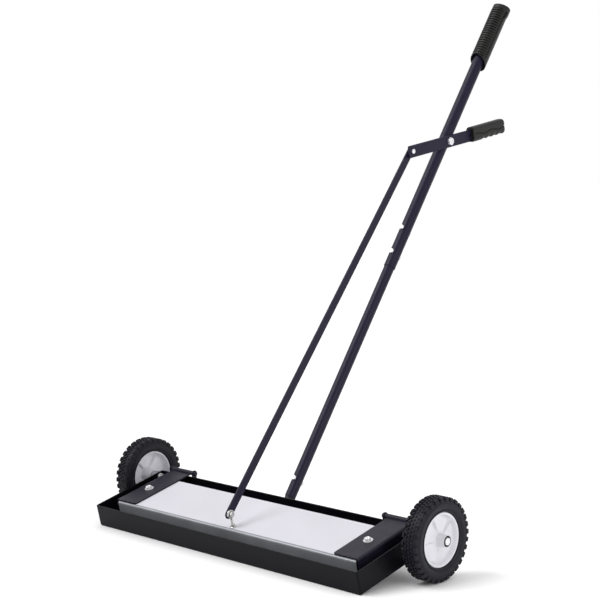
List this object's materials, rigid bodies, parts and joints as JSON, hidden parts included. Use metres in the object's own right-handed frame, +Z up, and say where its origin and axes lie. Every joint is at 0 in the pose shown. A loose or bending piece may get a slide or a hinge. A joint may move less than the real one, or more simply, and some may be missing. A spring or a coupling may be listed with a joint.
{
  "type": "magnetic nail sweeper",
  "caption": "Push-along magnetic sweeper: long magnet in a hinged tray on two wheels, lifted out by a lever and pull rod on its slanted handle.",
  "frame": {"origin": "on the floor, below the middle of the whole object's bounding box", "axes": "+Z up, +X along the wheel axle towards the lever's side, which is the left hand of the person who holds the handle, -Y towards the tray's front edge, +Y towards that person"},
  "size_m": [0.9598, 1.0148, 1.2586],
  "materials": {
    "powder_coat": "semi-gloss dark navy black powder coat",
    "tray_paint": "satin black paint on folded sheet",
    "aluminium": "brushed",
    "cover_sheet": "pale satin anodised sheet",
    "bare_steel": "mill finish",
    "ferrite": "dark matt ceramic magnet",
    "zinc": "bright zinc plate",
    "white_plastic": "semi-gloss moulded white",
    "tyre": "matt black rubber with a block tread",
    "grip_rubber": "matt dark grey rubber"
  },
  "bodies": {
    "frame": {"tray": "tray_paint", "handle_socket": "powder_coat", "lower_tube": "powder_coat", "upper_tube": "powder_coat", "handle_grip": "grip_rubber", "socket_bolt": "zinc", "socket_nut": "zinc", "splice_1_bolt": "zinc", "splice_1_nut": "zinc", "splice_2_bolt": "zinc", "splice_2_nut": "zinc", "lever_pivot_bolt": "zinc", "lever_pivot_nut": "zinc", "tray_hinge_lug_left_inner": "powder_coat", "tray_hinge_lug_left_outer": "powder_coat", "tray_hinge_lug_right_inner": "powder_coat", "tray_hinge_lug_right_outer": "powder_coat", "hinge_pin_left": "powder_coat", "axle_sleeve_left": "zinc", "axle_spacer_left": "powder_coat", "axle_washer_left": "powder_coat", "axle_bolt_left": "zinc", "axle_nut_left": "zinc", "hinge_pin_right": "powder_coat", "axle_sleeve_right": "zinc", "axle_spacer_right": "powder_coat", "axle_washer_right": "powder_coat", "axle_bolt_right": "zinc", "axle_nut_right": "zinc"},
    "magnet": {"magnet_housing": "aluminium", "magnet_cover": "cover_sheet", "backing_plate": "bare_steel", "ferrite_magnet_1": "ferrite", "ferrite_magnet_2": "ferrite", "ferrite_magnet_3": "ferrite", "ferrite_magnet_4": "ferrite", "ferrite_magnet_5": "ferrite", "end_bracket_left": "powder_coat", "bracket_bolt_left": "zinc", "bracket_washer_left": "zinc", "bracket_nut_left": "zinc", "hinge_barrel_left": "powder_coat", "end_bracket_right": "powder_coat", "bracket_bolt_right": "zinc", "bracket_washer_right": "zinc", "bracket_nut_right": "zinc", "hinge_barrel_right": "powder_coat", "eyebolt": "zinc", "eyebolt_flange_nut": "zinc", "eyebolt_lock_nut": "zinc"},
    "lever": {"lift_lever": "powder_coat", "lever_grip": "grip_rubber", "rod_rivet": "zinc"},
    "rod": {"pull_rod": "powder_coat", "rod_foot_bolt": "zinc", "rod_foot_nut": "zinc"},
    "wheel_left_body": {"wheel_hub_left": "white_plastic", "tyre_left": "tyre"},
    "wheel_right_body": {"wheel_hub_right": "white_plastic", "tyre_right": "tyre"}
  },
  "joints": [
    {"name": "magnet_lift", "type": "hinge", "parent": "frame", "child": "magnet", "pos_m": [0, -0.2959, 0.10908], "axis": [-1, 0, 0], "range_deg": [0, 15]},
    {"name": "lever_swing", "type": "hinge", "parent": "frame", "child": "lever", "pos_m": [0, 0.26095, 0.90374], "axis": [-1, 0, 0], "range_deg": [0, 20]},
    {"name": "rod_swing", "type": "hinge", "parent": "lever", "child": "rod", "pos_m": [0, 0.1209, 0.87795], "axis": [1, 0, 0], "range_deg": [0, 20]},
    {"name": "wheel_left_spin", "type": "hinge", "parent": "frame", "child": "wheel_left_body", "pos_m": [-0.447, -0.3113, 0.089], "axis": [1, 0, 0], "continuous": true},
    {"name": "wheel_right_spin", "type": "hinge", "parent": "frame", "child": "wheel_right_body", "pos_m": [0.447, -0.3113, 0.089], "axis": [1, 0, 0], "continuous": true}
  ],
  "couplings": [
    {"joint": "lever_swing", "follows": "magnet_lift", "ratio": 1.2734},
    {"joint": "rod_swing", "follows": "magnet_lift", "ratio": 1.285}
  ]
}
